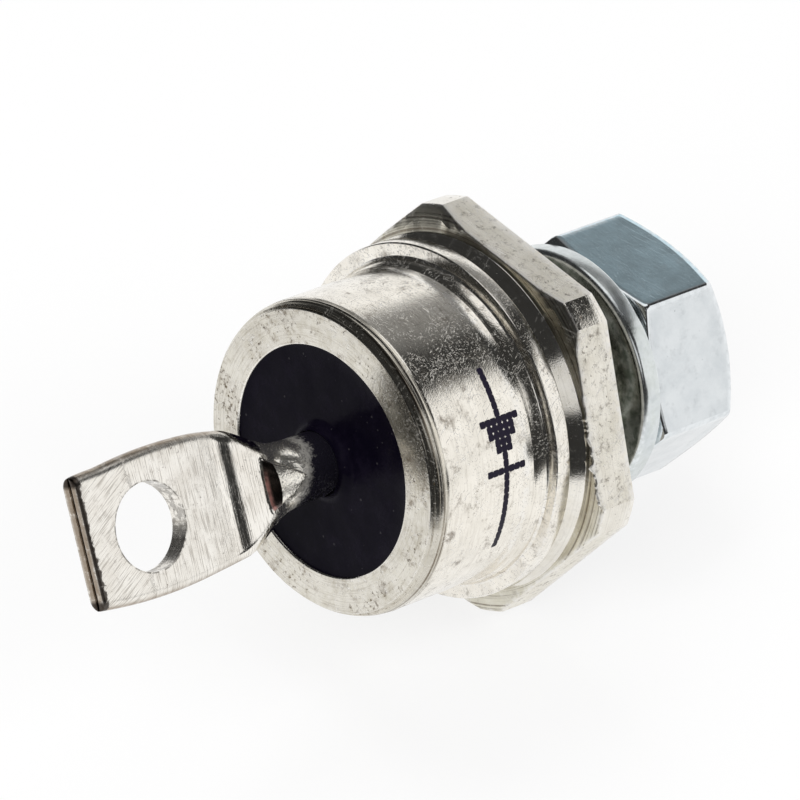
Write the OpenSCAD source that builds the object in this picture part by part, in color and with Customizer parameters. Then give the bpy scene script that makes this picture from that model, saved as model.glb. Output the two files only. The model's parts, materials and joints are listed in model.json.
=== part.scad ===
// Stud diode with a hex base, a glass-sealed can, a pinched lug, a washer and a nut.
// Heights are taken from the seat, the back face of the hex, and grow towards the lug.
// The diode lies on one hex flat and one nut flat, as it comes to rest on a table.

/* [Hex base] */
// Width across the hex flats
hex_af = 17.2; // [16.9:0.05:17.5]
// Thickness of the hex flange
hex_t = 2.1; // [1.6:0.05:2.6]
// Diameter that the hex corners are turned down to
hex_corner_d = 19.1; // [18.6:0.05:19.5]
// Diameter where the front chamfer of the hex starts
hex_face_d = 18; // [17.5:0.05:18.4]
// Slope of the front chamfer, in degrees
hex_chamfer = 30; // [20:1:40]
// Diameter of the pedestal that carries the chip
pedestal_d = 9.4; // [8.6:0.1:9.8]
// Height of the pedestal above the hex face
pedestal_h = 1.2; // [1:0.05:1.4]

/* [Stud] */
// Outer diameter of the stud's thread
stud_d = 6.35; // [5.8:0.05:6.4]
// Length of the stud behind the seat
stud_l = 11.1; // [10.7:0.05:11.5]
// Chamfer at the end of the stud
stud_chamfer = 0.6; // [0.3:0.05:1]

/* [Can] */
// Diameter of the weld ring on the hex face
ring_d = 16.1; // [15.6:0.05:16.5]
// Height of the weld ring
ring_h = 0.83; // [0.6:0.01:1.1]
// Diameter of the can's flange
flange_d = 16.7; // [16.2:0.05:17]
// Thickness of the can's flange
flange_t = 0.84; // [0.6:0.02:1.2]
// Diameter of the can's wall
can_d = 14.76; // [14.2:0.02:15.2]
// Height of the can, flange included
can_h = 7.62; // [7.2:0.02:8.4]
// Diameter of the can's bore
can_bore_d = 10.82; // [10.2:0.02:11.4]
// Width of the bevelled lip
lip_w = 0.33; // [0.1:0.01:0.5]
// Height of the bevelled lip
lip_h = 0.6; // [0.3:0.01:0.9]

/* [Glass seal] */
// Depth of the glass below the can's mouth
seal_recess = 0.15; // [0.05:0.01:0.4]
// Thickness of the glass
seal_t = 3.2; // [2.4:0.1:3.6]
// Radius of the meniscus where the glass climbs the tube
meniscus_r = 0.5; // [0.2:0.05:0.8]

/* [Terminal] */
// Diameter of the tube's neck
neck_d = 3.1; // [2.8:0.05:3.4]
// Length of tube that stands out below the glass
tube_tail = 0.6; // [0.3:0.05:0.8]
// Height where the neck starts to widen
flare_z = 12.15; // [11.8:0.05:12.5]
// Diameter of the widened neck at the pinch
flare_d = 3.5; // [3.3:0.05:3.7]
// Height of the shoulder where the tube is pinched flat
pinch_z = 14.5; // [14.2:0.05:14.8]
// Length of the curved shoulder
pinch_l = 0.9; // [0.6:0.05:1.4]
// Length of tube under the shoulder that is pinched shut
shut_l = 0.95; // [0.6:0.05:1.2]
// Height where the tube's sides start to spread
spread_z = 13.15; // [12.8:0.05:13.6]
// Length over which the sides spread
spread_l = 2.9; // [2.4:0.05:3.4]
// Height of the lug's end above the seat
lug_z = 24.75; // [23.8:0.05:25.4]
// Widest place of the lug
lug_w = 6.6; // [6.2:0.05:7]
// Width of the lug at its end
lug_end_w = 5.9; // [5.5:0.05:6.2]
// Height of the widest place
bulge_z = 20.45; // [19.8:0.05:21.2]
// Thickness of the flattened tube
lug_t = 0.95; // [0.8:0.01:1.2]
// Diameter of the connection hole
hole_d = 4; // [3.6:0.02:4.4]
// Height of the connection hole
hole_z = 21.2; // [20.6:0.05:21.6]
// Angle of the lug's width from the upright, about the axis
lug_turn = 36; // [0:1:180]

/* [Chip stack] */
// Thickness of each solder layer
solder_t = 0.1; // [0.06:0.01:0.15]
// Diameter of the lower disc
lower_disc_d = 7.8; // [7.4:0.1:8.4]
// Thickness of the lower disc
lower_disc_t = 0.5; // [0.4:0.05:0.6]
// Diameter of the chip
chip_d = 6.4; // [6:0.1:6.8]
// Thickness of the chip
chip_t = 0.35; // [0.25:0.01:0.4]
// Diameter of the upper disc
upper_disc_d = 5; // [4.8:0.1:5.4]
// Thickness of the upper disc
upper_disc_t = 0.5; // [0.4:0.05:0.6]
// Reach of the coating past the edge of the chip
coating_over = 0.15; // [0.1:0.01:0.25]
// Diameter of the inner lead
lead_d = 1.8; // [1.5:0.05:1.9]
// Diameter of the lead's head
lead_head_d = 4.4; // [4:0.1:4.6]
// Thickness of the lead's head
lead_head_t = 0.6; // [0.4:0.05:0.7]
// Height of the cone between the head and the wire
lead_cone_h = 0.5; // [0.3:0.05:0.6]

/* [Washer and nut] */
// Clear gap between the seat and the washer
grip = 3.95; // [3.5:0.05:4.2]
// Outer diameter of the washer
washer_d = 12; // [11.5:0.05:12.6]
// Thickness of the washer
washer_t = 1.1; // [0.9:0.05:1.3]
// Radius of the washer's front edge
washer_edge_r = 0.3; // [0.1:0.02:0.4]
// Width across the nut's flats
nut_af = 10.7; // [10.4:0.02:11.1]
// Thickness of the nut
nut_t = 5.15; // [4.9:0.05:5.4]
// Diameter of the nut's end faces
nut_face_d = 10; // [9.6:0.05:10.3]
// Slope of the nut's chamfers, in degrees
nut_chamfer = 30; // [20:1:35]
// Depth of the countersinks at the nut's bore
nut_sink = 0.4; // [0.2:0.05:0.6]

/* [Fits] */
// Radial clearance of the nut on the stud
nut_gap = 0.05; // [0.03:0.01:0.1]
// Radial clearance of the washer on the stud
washer_gap = 0.15; // [0.1:0.01:0.25]
// Radial clearance of the weld ring round the pedestal
ring_gap = 0.05; // [0.02:0.01:0.1]
// Radial clearance of the inner lead in the tube
lead_gap = 0.05; // [0.03:0.01:0.1]
// Clearance between the lead's end and the end of the tube's bore
lead_end_gap = 0.2; // [0.1:0.05:0.4]

/* [Hidden] */

$fn = 96;
// Steps in a quarter arc of a turned profile
arc_steps = 8;
// Steps round each rounded side of the flattened tube
side_steps = 14;
// Sections along the neck, the shoulder and the lug
neck_sections = 5;
pinch_sections = 8;
lug_sections = 14;
// Least flat on a section of the tube, which keeps the two sides apart
least_flat = 0.01;
// Overlap of a cut past the face that it opens
cut = 0.5;

hex_face_z = hex_t;
ring_top = hex_face_z + ring_h;
flange_top = ring_top + flange_t;
can_top = ring_top + can_h;
cove_r = (flange_d - can_d) / 2;
seal_top = can_top - seal_recess;
seal_bottom = seal_top - seal_t;
tube_bottom = seal_bottom - tube_tail;
bore_top = pinch_z - shut_l;

solder_z = hex_face_z + pedestal_h;
lower_disc_z = solder_z + solder_t;
chip_z = lower_disc_z + lower_disc_t;
upper_disc_z = chip_z + chip_t;
lead_solder_z = upper_disc_z + upper_disc_t;
lead_z = lead_solder_z + solder_t;
coating_r = (chip_d - upper_disc_d) / 2 + coating_over;

nut_front = grip + washer_t;
nut_far = nut_front + nut_t;
// The part rests on the back edge of a hex flat and the far edge of a nut flat
nut_edge = nut_far - max(0, nut_af - nut_face_d) / 2 * tan(nut_chamfer);
rest_tilt = atan((hex_af - nut_af) / 2 / nut_edge);

function mix(a, b, t) = a + (b - a) * t;
function limit(t) = max(0, min(1, t));
function ease(t) = t * t * (3 - 2 * t);

function arc(centre, r, from, to) = [
    for (i = [0:arc_steps])
        let (a = mix(from, to, i / arc_steps))
        [centre[0] + r * cos(a), centre[1] + r * sin(a)]
];

// Half sizes of the tube at a height: round in the neck, flat and barrelled in the lug
function tube_r(z) = mix(neck_d, flare_d, limit((z - flare_z) / (pinch_z - flare_z))) / 2;
function barrel(z) = mix(lug_w, lug_end_w, pow((z - bulge_z) / (lug_z - bulge_z), 2)) / 2;
function half_t(z) = mix(lug_t / 2, tube_r(z), pow(1 - limit((z - pinch_z) / pinch_l), 2));
function half_w(z) = mix(tube_r(z), barrel(z), ease(limit((z - spread_z) / spread_l)));

function side(z, turn) =
    let (h = half_t(z), flat = max(least_flat, half_w(z) - h))
    [
        for (i = [0:side_steps])
            let (a = turn - 90 + 180 * i / side_steps)
            [flat * cos(turn) + h * cos(a), h * sin(a), z]
    ];

function section(z) = concat(side(z, 0), side(z, 180));

function steps(from, to, count) = [for (i = [0:count - 1]) mix(from, to, i / count)];

// Lays the diode, whose axis is upright, down on its two flats
module lie() {
    rotate([0, rest_tilt - 90, 0]) children();
}

// Hex bar of a given width, with one pair of flats facing X
module hex_bar(af, z, h) {
    translate([0, 0, z])
        rotate(30)
        cylinder(r = af / 2 / cos(30), h = h, $fn = 6);
}

module disc(d, z, h) {
    translate([0, 0, z])
        cylinder(d = d, h = h);
}

module hex_flange() {
    corner_drop = (hex_corner_d - hex_face_d) / 2 * tan(hex_chamfer);
    intersection() {
        hex_bar(hex_af, 0, hex_t);
        rotate_extrude()
            polygon([
                [0, 0],
                [hex_corner_d / 2, 0],
                [hex_corner_d / 2, hex_t - corner_drop],
                [hex_face_d / 2, hex_t],
                [0, hex_t]
            ]);
    }
}

// Stud and pedestal, turned on one axis through the middle of the hex
module turned_core() {
    rotate_extrude()
        polygon([
            [0, -stud_l],
            [stud_d / 2 - stud_chamfer, -stud_l],
            [stud_d / 2, -stud_l + stud_chamfer],
            [stud_d / 2, hex_t / 2],
            [pedestal_d / 2, hex_t / 2],
            [pedestal_d / 2, solder_z],
            [0, solder_z]
        ]);
}

module base_stud() {
    color("#b9b4a6")
        lie()
        union() {
            hex_flange();
            turned_core();
        }
}

module weld_ring() {
    color("#c4c0b4")
        lie()
        difference() {
            disc(ring_d, hex_face_z, ring_h);
            disc(pedestal_d + 2 * ring_gap, hex_face_z - cut, ring_h + 2 * cut);
        }
}

module can() {
    color("#cac6ba")
        lie()
        rotate_extrude()
        polygon(concat(
            [
                [can_bore_d / 2, ring_top],
                [flange_d / 2, ring_top]
            ],
            arc([flange_d / 2, flange_top + cove_r], cove_r, 270, 180),
            [
                [can_d / 2, can_top - lip_h],
                [can_d / 2 - lip_w, can_top],
                [can_bore_d / 2, can_top]
            ]
        ));
}

module glass_seal() {
    color("#17151f")
        lie()
        rotate_extrude()
        polygon(concat(
            [
                [neck_d / 2, seal_bottom],
                [can_bore_d / 2, seal_bottom],
                [can_bore_d / 2, seal_top]
            ],
            arc([neck_d / 2 + meniscus_r, seal_top + meniscus_r], meniscus_r, 270, 180)
        ));
}

// Tube from the end of the neck to the lug, swept through its sections
module flattened_tube() {
    heights = concat(
        steps(flare_z, pinch_z, neck_sections),
        steps(pinch_z, pinch_z + pinch_l, pinch_sections),
        steps(pinch_z + pinch_l, lug_z, lug_sections),
        [lug_z]
    );
    rings = len(heights);
    around = 2 * (side_steps + 1);
    points = [for (z = heights) each section(z)];
    walls = [
        for (k = [0:rings - 2], i = [0:around - 1])
            let (j = (i + 1) % around)
            each [
                [k * around + i, (k + 1) * around + i, (k + 1) * around + j],
                [k * around + i, (k + 1) * around + j, k * around + j]
            ]
    ];
    foot = [for (i = [0:around - 1]) i];
    tip = [for (i = [around - 1:-1:0]) (rings - 1) * around + i];
    polyhedron(points, concat(walls, [foot, tip]));
}

module terminal() {
    color("#c8c4b8")
        lie()
        rotate(lug_turn)
        difference() {
            union() {
                disc(neck_d, tube_bottom, flare_z - tube_bottom);
                flattened_tube();
            }
            disc(lead_d + 2 * lead_gap, tube_bottom - cut, bore_top - tube_bottom + cut);
            translate([0, 0, hole_z])
                rotate([90, 0, 0])
                cylinder(d = hole_d, h = lug_w, center = true);
        }
}

module base_solder() {
    color("#9c9ea2")
        lie()
        disc(lower_disc_d, solder_z, solder_t);
}

module lower_disc() {
    color("#85878c")
        lie()
        disc(lower_disc_d, lower_disc_z, lower_disc_t);
}

module silicon_chip() {
    color("#4a4d55")
        lie()
        disc(chip_d, chip_z, chip_t);
}

// Quarter-round bead on the edge of the chip, from the lower disc to the upper one
module junction_coating() {
    color("#e6e2da")
        lie()
        rotate_extrude()
        difference() {
            polygon(concat(
                [[upper_disc_d / 2, chip_z]],
                arc([upper_disc_d / 2, chip_z], coating_r, 0, 90)
            ));
            translate([0, chip_z - cut])
                square([chip_d / 2, chip_t + cut]);
        }
}

module upper_disc() {
    color("#85878c")
        lie()
        disc(upper_disc_d, upper_disc_z, upper_disc_t);
}

module lead_solder() {
    color("#9c9ea2")
        lie()
        disc(lead_head_d, lead_solder_z, solder_t);
}

module inner_lead() {
    color("#b87a4b")
        lie()
        rotate_extrude()
        polygon([
            [0, lead_z],
            [lead_head_d / 2, lead_z],
            [lead_head_d / 2, lead_z + lead_head_t],
            [lead_d / 2, lead_z + lead_head_t + lead_cone_h],
            [lead_d / 2, bore_top - lead_end_gap],
            [0, bore_top - lead_end_gap]
        ]);
}

module washer() {
    color("#c3c9cc")
        lie()
        rotate_extrude()
        polygon(concat(
            [
                [stud_d / 2 + washer_gap, -grip],
                [stud_d / 2 + washer_gap, -nut_front],
                [washer_d / 2, -nut_front]
            ],
            arc([washer_d / 2 - washer_edge_r, -grip - washer_edge_r], washer_edge_r, 0, 90)
        ));
}

module nut() {
    bore_r = stud_d / 2 + nut_gap;
    edge_r = nut_af / 2 / cos(30) + cut;
    edge_drop = (edge_r - nut_face_d / 2) * tan(nut_chamfer);
    color("#b9c2c8")
        lie()
        intersection() {
            hex_bar(nut_af, -nut_far, nut_t);
            rotate_extrude()
                polygon([
                    [bore_r + nut_sink, -nut_far],
                    [nut_face_d / 2, -nut_far],
                    [edge_r, -nut_far + edge_drop],
                    [edge_r, -nut_front - edge_drop],
                    [nut_face_d / 2, -nut_front],
                    [bore_r + nut_sink, -nut_front],
                    [bore_r, -nut_front - nut_sink],
                    [bore_r, -nut_far + nut_sink]
                ]);
        }
}

base_stud();
weld_ring();
can();
glass_seal();
terminal();
base_solder();
lower_disc();
silicon_chip();
junction_coating();
upper_disc();
lead_solder();
inner_lead();
washer();
nut();
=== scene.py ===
import bpy
import json
import math
from mathutils import Matrix, Vector, noise


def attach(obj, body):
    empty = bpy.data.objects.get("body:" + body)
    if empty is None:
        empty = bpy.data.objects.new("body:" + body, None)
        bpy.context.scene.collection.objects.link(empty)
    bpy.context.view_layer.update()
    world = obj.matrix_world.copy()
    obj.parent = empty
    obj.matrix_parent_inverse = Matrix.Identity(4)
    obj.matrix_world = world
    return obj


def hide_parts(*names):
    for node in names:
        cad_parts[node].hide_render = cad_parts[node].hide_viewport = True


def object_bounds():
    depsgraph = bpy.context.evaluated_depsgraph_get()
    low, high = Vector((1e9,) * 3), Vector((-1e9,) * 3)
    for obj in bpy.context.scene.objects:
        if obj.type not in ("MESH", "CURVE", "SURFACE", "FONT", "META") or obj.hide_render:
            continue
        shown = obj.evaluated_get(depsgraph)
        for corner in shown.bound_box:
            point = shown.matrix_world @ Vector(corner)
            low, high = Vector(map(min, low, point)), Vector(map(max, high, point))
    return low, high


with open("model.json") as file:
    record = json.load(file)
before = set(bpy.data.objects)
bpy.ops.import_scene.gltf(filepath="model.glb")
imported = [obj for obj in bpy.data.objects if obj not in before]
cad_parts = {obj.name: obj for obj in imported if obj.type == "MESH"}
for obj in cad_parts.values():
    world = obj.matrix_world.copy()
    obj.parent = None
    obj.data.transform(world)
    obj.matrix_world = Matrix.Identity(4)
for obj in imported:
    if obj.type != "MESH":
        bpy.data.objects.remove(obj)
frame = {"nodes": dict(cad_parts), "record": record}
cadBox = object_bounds()
scene = bpy.context.scene
mm = 0.001

# the diode's own frame: z runs along its axis to the lug, x points up, zero is the seat
mounts = {m["name"]: m for m in frame["record"]["mounts"]}
axisDir = -Vector(mounts["stud"]["axis"]).normalized()
sideDir = Vector((0, 1, 0))
upDir = sideDir.cross(axisDir).normalized()
diodeFrame = Matrix((upDir, sideDir, axisDir)).transposed().to_4x4()
diodeFrame.translation = Vector(mounts["stud"]["pos_m"])
lugNormal = Vector(mounts["lug_hole"]["axis"]) @ diodeFrame.to_3x3()
lugTurn = math.atan2(lugNormal.y, lugNormal.x) + math.pi / 2
print("frame loaded, box", [round(v / mm, 2) for v in cadBox[1] - cadBox[0]], "mm")


# shader helpers
def plug(tree, node, values):
    for key, value in values.items():
        if isinstance(value, bpy.types.NodeSocket):
            tree.links.new(value, node.inputs[key])
        else:
            node.inputs[key].default_value = value


def addNode(tree, kind, values=None, **settings):
    node = tree.nodes.new("ShaderNode" + kind)
    for key, value in settings.items():
        setattr(node, key, value)
    plug(tree, node, values or {})
    return node


def maths(tree, operation, a, b=0.0, clamp=False):
    return addNode(tree, "Math", {0: a, 1: b}, operation=operation, use_clamp=clamp).outputs[0]


def times(tree, a, b, clamp=False):
    return maths(tree, "MULTIPLY", a, b, clamp)


def plus(tree, a, b, clamp=False):
    return maths(tree, "ADD", a, b, clamp)


def minus(tree, a, b, clamp=False):
    return maths(tree, "SUBTRACT", a, b, clamp)


def larger(tree, first, *others):
    for other in others:
        first = maths(tree, "MAXIMUM", first, other)
    return first


def allOf(tree, first, *others):
    for other in others:
        first = times(tree, first, other)
    return first


def lengthOf(tree, a, b):
    return maths(tree, "SQRT", plus(tree, times(tree, a, a), times(tree, b, b)))


def span(tree, value, low, high, toLow=0.0, toHigh=1.0):
    values = {"Value": value, 1: low, 2: high, 3: toLow, 4: toHigh}
    return addNode(tree, "MapRange", values, interpolation_type="SMOOTHSTEP").outputs[0]


def fade(tree, value, low, high, start=1.0):
    return span(tree, value, low, high, start, 0.0)


def mixColor(tree, factor, a, b):
    return addNode(tree, "Mix", {0: factor, 6: a, 7: b}, data_type="RGBA").outputs[2]


def coats(tree, color, *layers):
    for factor, over in layers:
        color = mixColor(tree, factor, color, over)
    return color


def noiseAt(tree, place, scale, detail=2.0, rough=0.5):
    values = {"Vector": place, "Scale": scale, "Detail": detail, "Roughness": rough}
    return addNode(tree, "TexNoise", values).outputs[0]


def bumpOf(tree, height, strength, deep):
    return addNode(tree, "Bump", {"Height": height, "Strength": strength, "Distance": deep * mm}).outputs[0]


def stretch(tree, place, turn, scale):
    turned = addNode(tree, "VectorRotate", {"Vector": place, "Rotation": turn}, rotation_type="EULER_XYZ")
    return addNode(tree, "VectorMath", {0: turned.outputs[0], 1: scale}, operation="MULTIPLY").outputs[0]


def newGroup(name, inputs, outputs):
    group = bpy.data.node_groups.new(name, "ShaderNodeTree")
    for label, kind, start in inputs:
        socket = group.interface.new_socket(name=label, in_out="INPUT", socket_type="NodeSocket" + kind)
        if start is not None:
            socket.default_value = start
    for label, kind in outputs:
        group.interface.new_socket(name=label, in_out="OUTPUT", socket_type="NodeSocket" + kind)
    return group, group.nodes.new("NodeGroupInput").outputs, group.nodes.new("NodeGroupOutput").inputs


def useGroup(tree, group, values=None):
    return addNode(tree, "Group", values, node_tree=group).outputs


# place in millimetres with the diode's turned coordinates; the brushing leans over near the lug's tip
brushLook = {"aroundR": 7.0, "raggedScale": 1.2, "tip": (22.3, 22.5), "leanAlong": 0.5, "leanAcross": 0.87}


def buildDiodePlace():
    look = brushLook
    names = ("Radius", "Angle", "Height", "Around", "Width", "Through", "Brushed", "BrushedAcross")
    group, _, sink = newGroup("diodePlace", [], [("Place", "Vector")] + [(name, "Float") for name in names])
    coords = addNode(group, "TexCoord").outputs["Object"]
    place = addNode(group, "VectorMath", {0: coords, "Scale": 1 / mm}, operation="SCALE").outputs[0]
    x, y, z = addNode(group, "SeparateXYZ", {0: place}).outputs
    angle = maths(group, "ARCTAN2", y, x)
    cosine, sine = math.cos(lugTurn), math.sin(lugTurn)
    width = plus(group, times(group, x, cosine), times(group, y, sine))
    through = minus(group, times(group, x, sine), times(group, y, cosine))
    tip = span(group, plus(group, z, noiseAt(group, place, look["raggedScale"], 3.0)), *look["tip"])
    lean = plus(group, times(group, z, look["leanAlong"]), times(group, width, look["leanAcross"]))
    crossLean = minus(group, times(group, width, look["leanAlong"]), times(group, z, look["leanAcross"]))
    values = {
        "Place": place, "Radius": lengthOf(group, x, y), "Angle": angle, "Height": z,
        "Around": times(group, angle, look["aroundR"]), "Width": width, "Through": through,
        "Brushed": plus(group, z, times(group, minus(group, lean, z), tip)),
        "BrushedAcross": plus(group, width, times(group, minus(group, crossLean, width), tip))}
    for name, value in values.items():
        group.links.new(value, sink[name])
    return group


def newMask(name):
    inputs = [("Place", "Vector", None), ("Scale", "Float", 1.0), ("Amount", "Float", 0.5)]
    return newGroup(name, inputs, [("Mask", "Float")])


def maskOf(tree, group, place, scale, amount):
    return useGroup(tree, group, {"Place": place, "Scale": scale, "Amount": amount})["Mask"]


# small dark pits that gather in patches
def buildPits():
    group, source, sink = newMask("pits")
    fine = noiseAt(group, source["Place"], source["Scale"], 3.0, 0.65)
    patch = noiseAt(group, source["Place"], 0.55, 2.0)
    level = times(group, span(group, patch, 0.35, 0.7, 0.35, 1.0), source["Amount"])
    edge = minus(group, 0.72, times(group, level, 0.2))
    depth = minus(group, fine, edge)
    group.links.new(times(group, depth, 9.0, True), sink["Mask"])
    return group


# thin scratches in three directions
def buildScratches():
    group, source, sink = newMask("scratches")
    values = {0: source["Place"], "Scale": source["Scale"]}
    place = addNode(group, "VectorMath", values, operation="SCALE").outputs[0]
    total = None
    for turn in ((0.3, 0.9, 0.4), (1.3, 0.2, 2.1), (2.2, 1.6, 0.9)):
        lines = noiseAt(group, stretch(group, place, turn, (0.35, 9.0, 9.0)), 1.0, 1.0)
        gate = noiseAt(group, stretch(group, place, turn, (0.5, 0.8, 0.8)), 1.0, 0.0)
        layer = times(group, span(group, lines, 0.64, 0.69), span(group, gate, 0.46, 0.58))
        total = layer if total is None else larger(group, total, layer)
    group.links.new(times(group, total, source["Amount"], True), sink["Mask"])
    return group


# fine tool lines, close together along one coordinate and long across it
def buildToolLines():
    inputs = [(name, "Float", 1.0) for name in ("Along", "Across", "Fine", "Length")]
    group, source, sink = newGroup("toolLines", inputs, [("Height", "Float")])
    along = times(group, source["Along"], source["Fine"])
    across = maths(group, "DIVIDE", source["Across"], source["Length"])
    spot = addNode(group, "CombineXYZ", {0: along, 1: across}).outputs[0]
    group.links.new(noiseAt(group, spot, 1.0, 2.0), sink["Height"])
    return group


# bright rubbed metal on the edges that the mesh marks
def buildEdgeRub():
    group, source, sink = newGroup(
        "edgeRub", [("Place", "Vector", None), ("Amount", "Float", 0.5)], [("Mask", "Float")])
    edge = addNode(group, "Attribute", attribute_name="edge").outputs["Fac"]
    broken = span(group, noiseAt(group, source["Place"], 2.6, 3.0, 0.6), 0.32, 0.62)
    mask = times(group, edge, broken)
    group.links.new(times(group, mask, source["Amount"], True), sink["Mask"])
    return group


# loose pale grains
def buildDust():
    group, source, sink = newMask("dust")
    cells = addNode(group, "TexVoronoi", {"Vector": source["Place"], "Scale": source["Scale"]})
    chance = addNode(group, "SeparateColor", {0: cells.outputs["Color"]}).outputs[0]
    size = times(group, span(group, chance, 0.55, 1.0), 0.16)
    grain = maths(group, "LESS_THAN", cells.outputs["Distance"], size)
    group.links.new(times(group, grain, source["Amount"], True), sink["Mask"])
    return group


diodePlace = buildDiodePlace()
pits = buildPits()
scratches = buildScratches()
toolLines = buildToolLines()
edgeRub = buildEdgeRub()
dust = buildDust()
print("node groups built")


def newMaterial(name):
    material = bpy.data.materials.new(name)
    material.use_nodes = True
    tree = material.node_tree
    return material, tree, tree.nodes["Principled BSDF"]


# plated metal: tint, dirt in its pits, tool lines, scratches and rubbed edges
def platedMetal(name, look, extra=None):
    material, tree, shader = newMaterial(name)
    here = useGroup(tree, diodePlace)
    place = here["Place"]
    pitMask = maskOf(tree, pits, place, look["pitScale"], look["pits"])
    scratch = maskOf(tree, scratches, place, look["scratchScale"], look["scratch"])
    rub = useGroup(tree, edgeRub, {"Place": place, "Amount": look["rub"]})["Mask"]
    cloud = noiseAt(tree, place, 0.8, 4.0, 0.6)
    stain = span(tree, noiseAt(tree, place, look["stainScale"], 6.0, 0.75), 0.52, 0.72)
    grain = noiseAt(tree, place, look["grainScale"], 2.0, 0.6)
    lines = useGroup(tree, toolLines, {
        "Along": here[look["linesAlong"]], "Across": here[look["linesAcross"]], "Fine": look["linesFine"],
        "Length": look["linesLength"]})["Height"]
    streak = times(tree, fade(tree, lines, 0.36, 0.5), look["streak"])
    color = mixColor(tree, span(tree, cloud, 0.3, 0.75), look["tint"], look["shade"])
    dirt, bright = look["dirt"], look["bright"]
    color = coats(
        tree, color, (streak, dirt), (times(tree, stain, look["stain"]), dirt), (pitMask, dirt),
        (times(tree, scratch, 0.6), bright), (rub, bright))
    rough = plus(tree, span(tree, cloud, 0.25, 0.8, -0.03, 0.05), look["rough"])
    rough = plus(tree, rough, times(tree, stain, 0.15 * look["stain"]))
    rough = plus(tree, rough, times(tree, pitMask, 0.25), True)
    relief = plus(tree, times(tree, grain, look["grain"]), times(tree, lines, look["lines"]))
    relief = minus(tree, relief, times(tree, pitMask, look["pitDepth"]))
    relief = minus(tree, relief, times(tree, scratch, look["scratchDepth"]))
    bump = bumpOf(tree, relief, 1.0, 0.01)
    metal = minus(tree, 1.0, times(tree, scratch, 0.2))
    links = {"Base Color": color, "Roughness": rough, "Metallic": metal, "Normal": bump}
    if extra:
        links.update(extra(tree, here, dict(links)))
    plug(tree, shader, links)
    return material


nickel = {
    "tint": (0.83, 0.80, 0.73, 1), "shade": (0.73, 0.695, 0.62, 1), "dirt": (0.14, 0.105, 0.07, 1),
    "bright": (0.90, 0.88, 0.84, 1), "rough": 0.12, "pits": 0.4, "pitScale": 8.0, "pitDepth": 0.5,
    "stain": 0.3, "stainScale": 1.3, "scratch": 0.5, "scratchScale": 1.0, "scratchDepth": 0.3, "rub": 0.7,
    "grain": 0.22, "grainScale": 14.0, "lines": 0.1, "linesAlong": "Height", "linesAcross": "Around",
    "linesFine": 12.0, "linesLength": 4.0, "streak": 0.08}
zincPlate = dict(
    nickel, tint=(0.70, 0.74, 0.755, 1), shade=(0.62, 0.66, 0.675, 1), dirt=(0.24, 0.265, 0.275, 1),
    bright=(0.90, 0.93, 0.95, 1), rough=0.17, pits=0.2, stain=0.12, scratch=0.2, grain=0.12, grainScale=8.0,
    lines=0.05, linesFine=5.0, streak=0.0)


# mesh helpers, all in millimetres in the diode's frame
def blendTo(a, b, t):
    return a + (b - a) * t


def clampTo(t):
    return max(0.0, min(1.0, t))


def easeIn(value, low, high):
    t = clampTo((value - low) / (high - low))
    return t * t * (3 - 2 * t)


def ray(angle):
    return Vector((math.cos(angle), math.sin(angle)))


def polar(r, angle, z):
    return Vector((r * math.cos(angle), r * math.sin(angle), z))


def roundCorners(corners, steps=5):
    path = []
    for i, (r, z, rounding) in enumerate(corners):
        here = Vector((r, z))
        if rounding == 0:
            path.append((r, z, 0.0))
            continue
        before = (Vector(corners[i - 1][:2]) - here).normalized()
        after = (Vector(corners[(i + 1) % len(corners)][:2]) - here).normalized()
        half = before.angle(after) / 2
        reach = rounding / math.tan(half)
        centre = here + (before + after).normalized() * (rounding / math.sin(half))
        first = here + before * reach - centre
        last = here + after * reach - centre
        start = math.atan2(first.y, first.x)
        sweep = (math.atan2(last.y, last.x) - start + math.pi) % (2 * math.pi) - math.pi
        for k in range(steps + 1):
            angle = start + sweep * k / steps
            x, y = centre.x + rounding * math.cos(angle), centre.y + rounding * math.sin(angle)
            path.append((x, y, 1.0 if 0 < k < steps else 0.4))
    return path


def skin(rings, loop=False, firstCap=False, lastCap=False):
    around = len(rings[0])
    points = [p for ring in rings for p in ring]
    faces = []
    spans = len(rings) if loop else len(rings) - 1
    for k in range(spans):
        low = k * around
        high = (k + 1) % len(rings) * around
        for i in range(around):
            j = (i + 1) % around
            faces.append((low + i, low + j, high + j, high + i))
    if firstCap:
        faces.append(tuple(reversed(range(around))))
    if lastCap:
        faces.append(tuple(range(len(points) - around, len(points))))
    return points, faces


def addObject(name, data):
    thing = bpy.data.objects.new(name, data)
    scene.collection.objects.link(thing)
    return thing


def addPiece(name, points, faces, materials, replaced, edge=None, pick=None, sharp=35):
    mesh = bpy.data.meshes.new(name)
    mesh.from_pydata([p * mm for p in points], [], faces)
    piece = addObject(name, mesh)
    for material in materials:
        mesh.materials.append(material)
    mesh.update()
    if pick:
        for face in mesh.polygons:
            face.material_index = pick(face.center / mm, face.normal)
    if edge:
        layer = mesh.attributes.new("edge", "FLOAT", "POINT")
        layer.data.foreach_set("value", edge)
    mesh.shade_smooth()
    mesh.set_sharp_from_angle(angle=math.radians(sharp))
    piece.matrix_world = diodeFrame
    normals = piece.modifiers.new("faceNormals", "WEIGHTED_NORMAL")
    normals.keep_sharp = True
    normals.weight = 90
    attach(piece, "root")
    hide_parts(replaced)
    print("piece", name, len(faces), "faces")
    return piece


def turnPiece(name, corners, spokes, materials, replaced, pick=None, wobble=None):
    path = roundCorners(corners)
    angles = [2 * math.pi * i / spokes for i in range(spokes)]
    rings = []
    for r, z, _ in path:
        ring = [polar(r, a, z) for a in angles]
        rings.append([wobble(p) for p in ring] if wobble else ring)
    points, faces = skin(rings, loop=True)
    edge = [mark for _, _, mark in path for _ in angles]
    return addPiece(name, points, faces, materials, replaced, edge, pick)


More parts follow.
